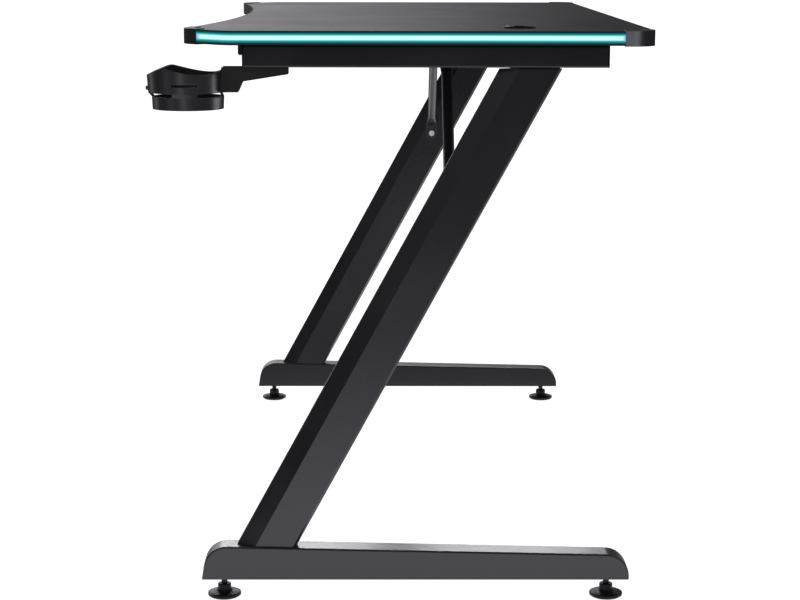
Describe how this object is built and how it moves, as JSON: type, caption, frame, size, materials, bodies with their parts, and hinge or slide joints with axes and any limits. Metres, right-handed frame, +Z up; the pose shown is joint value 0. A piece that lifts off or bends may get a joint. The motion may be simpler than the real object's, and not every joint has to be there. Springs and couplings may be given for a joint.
{
  "type": "gaming desk",
  "caption": "Desk with a scooped front and lit side edges on slanted legs with levelling feet, a cup holder, a headphone hook and a cable grommet.",
  "frame": {"origin": "on the floor under the middle of the desktop", "axes": "+X to the sitting user's right, +Y to the back, +Z up"},
  "size_m": [1.2185, 0.6427, 0.7451],
  "materials": {
    "board_laminate": "black laminate with a fine woven texture",
    "edge_band": "satin",
    "cap_plastic": "satin moulded",
    "led_channel": "satin extruded",
    "led_tape": "white flexible tape",
    "led_diffuser": "milky, lit blue-green",
    "grommet_plastic": "satin moulded",
    "frame_paint": "black powder coat",
    "brace_paint": "smooth black paint",
    "leg_paint": "black powder coat",
    "foot_paint": "black powder coat",
    "end_cap_plastic": "satin moulded",
    "pad_plastic": "satin moulded",
    "stud_steel": "blackened",
    "cup_plastic": "satin moulded",
    "arm_plastic": "satin moulded",
    "hook_plastic": "satin moulded",
    "fastener_steel": "zinc plated",
    "controller_plastic": "satin moulded",
    "button_plastic": "satin moulded",
    "circuit_laminate": "green laminate",
    "inlet_plastic": "moulded"
  },
  "bodies": {
    "desk": {"desktop_board": "board_laminate", "front_edge_band": "edge_band", "rear_edge_band": "edge_band", "corner_cap_front_right": "cap_plastic", "corner_cap_front_left": "cap_plastic", "corner_cap_rear_right": "cap_plastic", "corner_cap_rear_left": "cap_plastic", "led_channel_right": "led_channel", "led_channel_left": "led_channel", "led_tape_right": "led_tape", "led_tape_left": "led_tape", "led_diffuser_right": "led_diffuser", "led_diffuser_left": "led_diffuser", "grommet_sleeve": "grommet_plastic", "top_beam_right": "frame_paint", "top_beam_left": "frame_paint", "crossbeam": "frame_paint", "crossbeam_plates": "frame_paint", "leg_plates": "frame_paint", "brace_right": "brace_paint", "brace_left": "brace_paint", "leg_right": "leg_paint", "leg_left": "leg_paint", "foot_bar_right": "foot_paint", "foot_bar_left": "foot_paint", "beam_end_caps": "end_cap_plastic", "foot_nut_blocks": "stud_steel", "cup_holder_cup": "cup_plastic", "cup_holder_arm": "arm_plastic", "headphone_hook": "hook_plastic", "leg_bolts": "fastener_steel", "crossbeam_bolts": "fastener_steel", "brace_screws": "fastener_steel", "cup_holder_screws": "fastener_steel", "hook_screws": "fastener_steel", "controller_screws": "fastener_steel", "desktop_screws": "fastener_steel", "controller_housing": "controller_plastic", "controller_board": "circuit_laminate", "dc_inlet": "inlet_plastic"},
    "foot_front_right": {"foot_stud_front_right": "stud_steel", "foot_pad_front_right": "pad_plastic"},
    "foot_front_left": {"foot_stud_front_left": "stud_steel", "foot_pad_front_left": "pad_plastic"},
    "foot_rear_right": {"foot_stud_rear_right": "stud_steel", "foot_pad_rear_right": "pad_plastic"},
    "foot_rear_left": {"foot_stud_rear_left": "stud_steel", "foot_pad_rear_left": "pad_plastic"},
    "grommet_lid": {"grommet_lid": "grommet_plastic"},
    "controller_button": {"controller_button": "button_plastic"}
  },
  "joints": [
    {"name": "foot_front_right_height", "type": "slide", "parent": "desk", "child": "foot_front_right", "axis": [0, 0, -1], "range_m": [-0.002, 0.01]},
    {"name": "foot_front_left_height", "type": "slide", "parent": "desk", "child": "foot_front_left", "axis": [0, 0, -1], "range_m": [-0.002, 0.01]},
    {"name": "foot_rear_right_height", "type": "slide", "parent": "desk", "child": "foot_rear_right", "axis": [0, 0, -1], "range_m": [-0.002, 0.01]},
    {"name": "foot_rear_left_height", "type": "slide", "parent": "desk", "child": "foot_rear_left", "axis": [0, 0, -1], "range_m": [-0.002, 0.01]},
    {"name": "grommet_lid_turn", "type": "hinge", "parent": "desk", "child": "grommet_lid", "pos_m": [0.505, 0.132, 0.744], "axis": [0, 0, 1], "continuous": true},
    {"name": "controller_button_press", "type": "slide", "parent": "desk", "child": "controller_button", "axis": [0, 1, 0], "range_m": [0, 0.0012], "stiffness_N_per_m": 1200}
  ]
}
